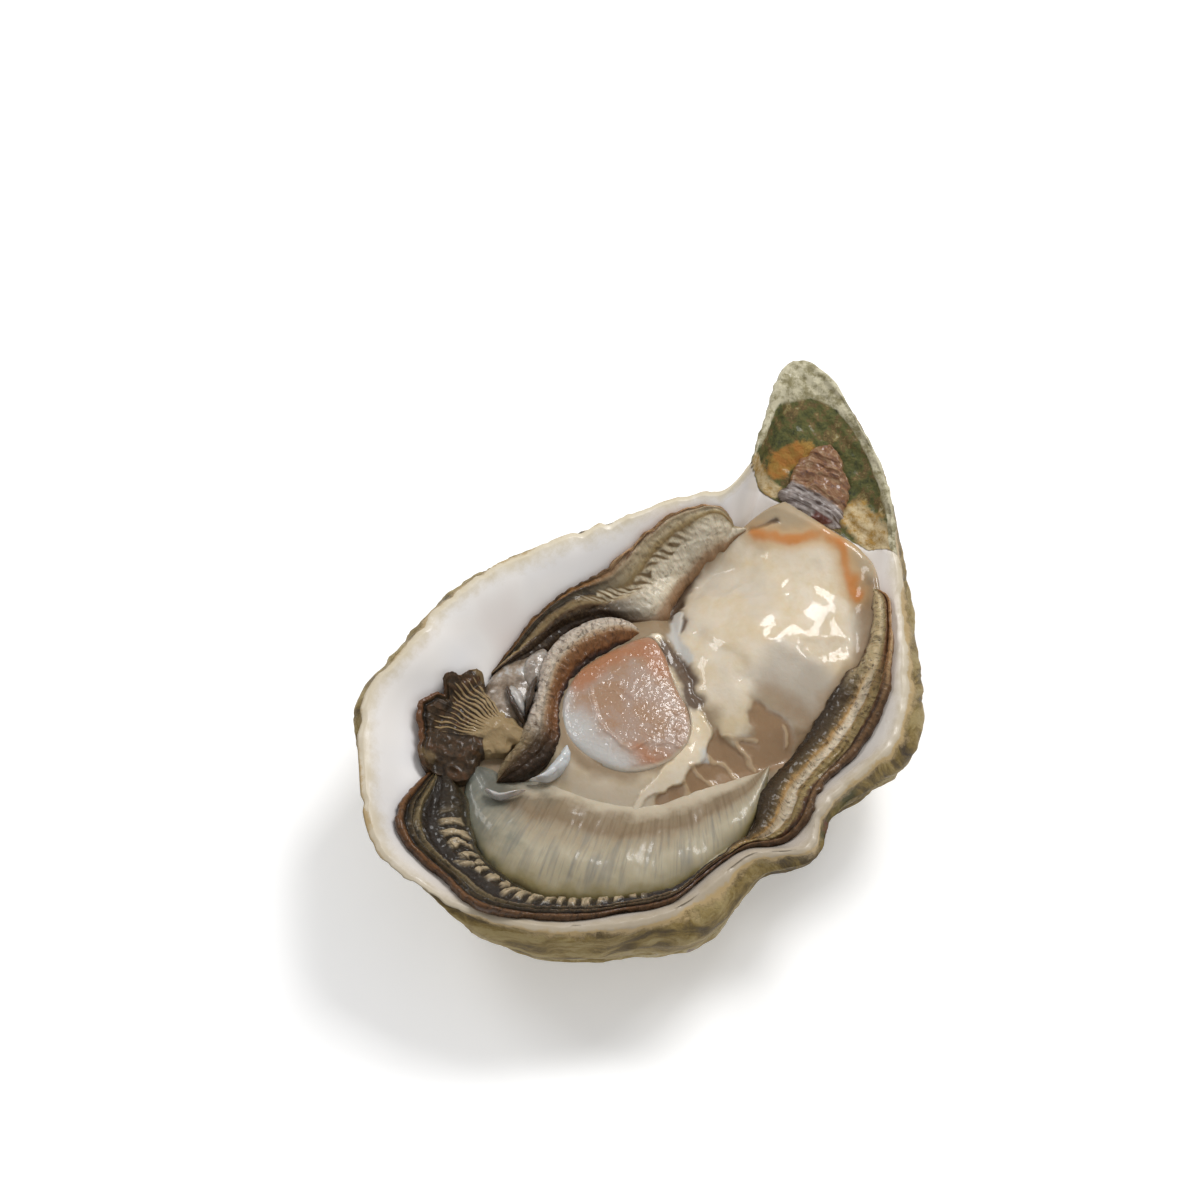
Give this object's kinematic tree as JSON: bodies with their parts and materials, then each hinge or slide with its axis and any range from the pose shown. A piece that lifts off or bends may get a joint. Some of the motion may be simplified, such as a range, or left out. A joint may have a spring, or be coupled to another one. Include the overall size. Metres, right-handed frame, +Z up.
{
  "type": "oyster on the half shell",
  "caption": "Opened raw oyster lying in its cupped lower shell, with beak, hinge plate, ligament, adductor muscle, gills and frilled mantle.",
  "frame": {"origin": "on the flat spot that the shell rests on, under the middle of the cup", "axes": "+Y from the cup to the beak and hinge, the longest way; +Z up, out of the cup; +X to the right seen from above"},
  "size_m": [0.0673, 0.0947, 0.027],
  "materials": {
    "shell": "porcelain-white nacre inside, layered olive, brown and grey shell outside",
    "hinge_ligament": "dark brown, horny and ridged, with a glassy front",
    "visceral_mass": "wet cream flesh with translucent tan patches",
    "adductor_muscle": "wet pinkish-tan muscle with a white crescent",
    "gills": "wet cream-grey gill with fine radial stripes",
    "lower_mantle": "wet dark brown mantle edge with tan papillae",
    "right_mantle": "wet mantle edge, two dark bands with a tan channel",
    "upper_mantle": "wet mantle edge, tan comb between dark lines",
    "rolled_mantle": "wet brown curled mantle with a dark underside",
    "mantle_fan": "wet dark brown pleated mantle with tan leaves"
  },
  "bodies": {
    "root": {"shell": "shell", "hinge_ligament": "hinge_ligament", "visceral_mass": "visceral_mass", "adductor_muscle": "adductor_muscle", "gills": "gills", "lower_mantle": "lower_mantle", "right_mantle": "right_mantle", "upper_mantle": "upper_mantle", "rolled_mantle": "rolled_mantle", "mantle_fan": "mantle_fan"}
  },
  "joints": []
}
